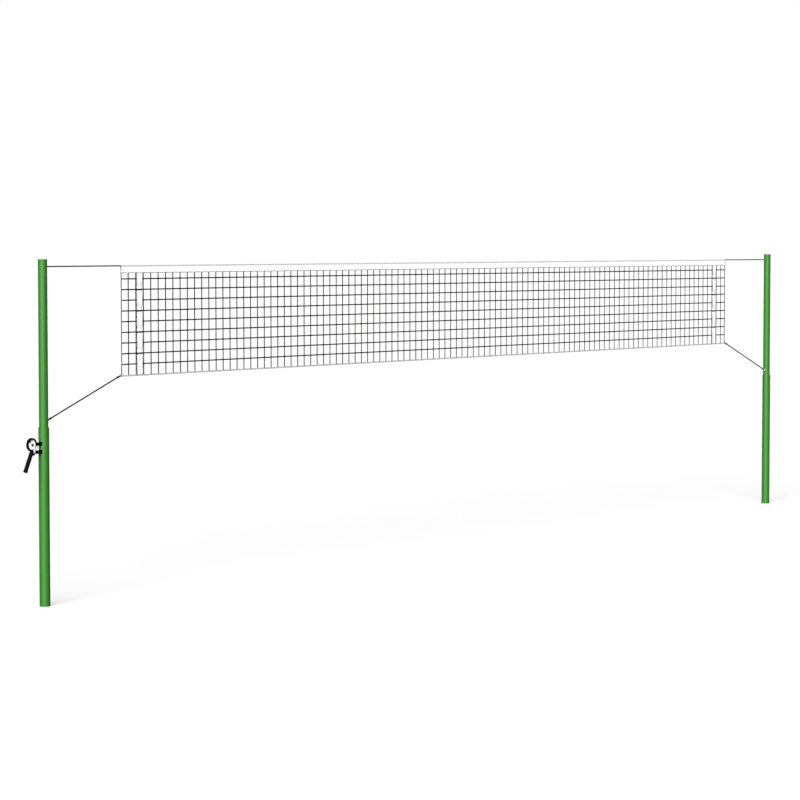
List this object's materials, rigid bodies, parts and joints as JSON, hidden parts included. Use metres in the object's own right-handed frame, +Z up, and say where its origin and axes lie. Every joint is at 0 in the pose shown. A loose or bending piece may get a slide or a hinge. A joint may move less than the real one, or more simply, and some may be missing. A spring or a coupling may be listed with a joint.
{
  "type": "volleyball net on poles",
  "caption": "Volleyball net with white tapes, hung on a winch-tightened cable between telescopic posts that stand in ground sleeves.",
  "frame": {"origin": "foot of the left post, on its axis", "axes": "+X along the net to the right post, +Y to the back of the net, +Z up"},
  "size_m": [11.7565, 0.1299, 2.857],
  "materials": {
    "post_green": "green powder coat, semi-gloss",
    "zinc": "bright zinc plate",
    "black_metal": "black coated steel",
    "black_plastic": "black moulded nylon",
    "grip_black": "black ribbed rubber",
    "green_plastic": "green moulded cap",
    "cable_grey": "dark sheathed steel cable",
    "cord_black": "black braided cord",
    "tape_white": "white woven tape",
    "hem_grey": "grey cord hem",
    "rope_dark": "dark braided rope"
  },
  "bodies": {
    "posts": {"lower_tube_left": "post_green", "lower_tube_right": "post_green", "foot_plug_left": "black_plastic", "foot_plug_right": "black_plastic", "guide_bushes": "black_plastic", "stop_rings": "black_metal", "clamp_bosses": "post_green", "clamp_pads": "black_plastic", "winch_lugs": "black_metal", "cable_guide": "green_plastic", "winch_bracket": "zinc", "winch_bolts": "zinc", "winch_axle": "zinc", "axle_nut": "black_metal", "holding_pawl_pin": "zinc", "holding_pawl_spring": "zinc", "winch_cable": "cable_grey"},
    "raised": {"upper_tube_left": "post_green", "upper_tube_right": "post_green", "top_cap_left": "green_plastic", "top_cap_right": "green_plastic", "slider_rings": "black_plastic", "sheave_axle": "post_green", "sheave_spacers": "zinc", "headline_cable": "cable_grey", "headline_sleeves": "cable_grey", "cable_riser": "cable_grey", "headline_terminal": "zinc", "headline_hook": "post_green", "rope_eye_left": "zinc", "rope_eye_right": "zinc", "corner_rings": "black_metal", "corner_rope_left": "rope_dark", "corner_rope_right": "rope_dark", "net_mesh": "cord_black", "top_tape": "tape_white", "bottom_tape": "tape_white", "side_hem_left": "hem_grey", "side_hem_right": "hem_grey", "side_band_left": "tape_white", "side_band_right": "tape_white"},
    "sheave": {"head_sheave": "black_plastic"},
    "drum": {"winch_drum": "zinc", "cable_wraps": "cable_grey", "ratchet_wheel": "zinc", "wheel_screw": "black_metal"},
    "lever": {"lever_plate": "zinc", "lever_hoop": "black_metal", "lever_grip": "grip_black", "drive_pawl_pin": "black_metal", "drive_pawl_spring": "zinc"},
    "drive_pawl": {"drive_pawl": "zinc", "pawl_trigger": "black_metal"},
    "holding_pawl": {"holding_pawl": "zinc"},
    "clamp_left": {"clamp_screw_left": "zinc", "clamp_knob_left": "black_plastic"},
    "clamp_right": {"clamp_screw_right": "zinc", "clamp_knob_right": "black_plastic"}
  },
  "joints": [
    {"name": "height_setting", "type": "slide", "parent": "posts", "child": "raised", "axis": [0, 0, 1], "range_m": [0, 0.19], "deforming": ["cable_riser"]},
    {"name": "sheave_turn", "type": "hinge", "parent": "raised", "child": "sheave", "pos_m": [0.003, 0, 2.772], "axis": [0, 1, 0], "continuous": true},
    {"name": "drum_turn", "type": "hinge", "parent": "posts", "child": "drum", "pos_m": [-0.168, 0, 1.346], "axis": [0, 1, 0], "continuous": true},
    {"name": "lever_swing", "type": "hinge", "parent": "posts", "child": "lever", "pos_m": [-0.168, 0, 1.346], "axis": [0, 1, 0], "range_deg": [-20, 100]},
    {"name": "pawl_trigger_pull", "type": "hinge", "parent": "lever", "child": "drive_pawl", "pos_m": [-0.144, 0, 1.29], "axis": [0, 1, 0], "range_deg": [0, 6.5], "stiffness_Nm_per_rad": 0.3, "springref_deg": -22.92},
    {"name": "holding_pawl_release", "type": "hinge", "parent": "posts", "child": "holding_pawl", "pos_m": [-0.114, 0, 1.302], "axis": [0, 1, 0], "range_deg": [-8, 0], "stiffness_Nm_per_rad": 0.3, "springref_deg": 22.92},
    {"name": "clamp_turn_left", "type": "hinge", "parent": "posts", "child": "clamp_left", "pos_m": [0, 0, 1.4], "axis": [0.7071, 0.7071, 0], "range_deg": [0, 360]},
    {"name": "clamp_turn_right", "type": "hinge", "parent": "posts", "child": "clamp_right", "pos_m": [11.42, 0, 1.4], "axis": [0.7071, 0.7071, 0], "range_deg": [0, 360]}
  ],
  "couplings": [
    {"joint": "sheave_turn", "follows": "drum_turn", "ratio": -0.84}
  ]
}
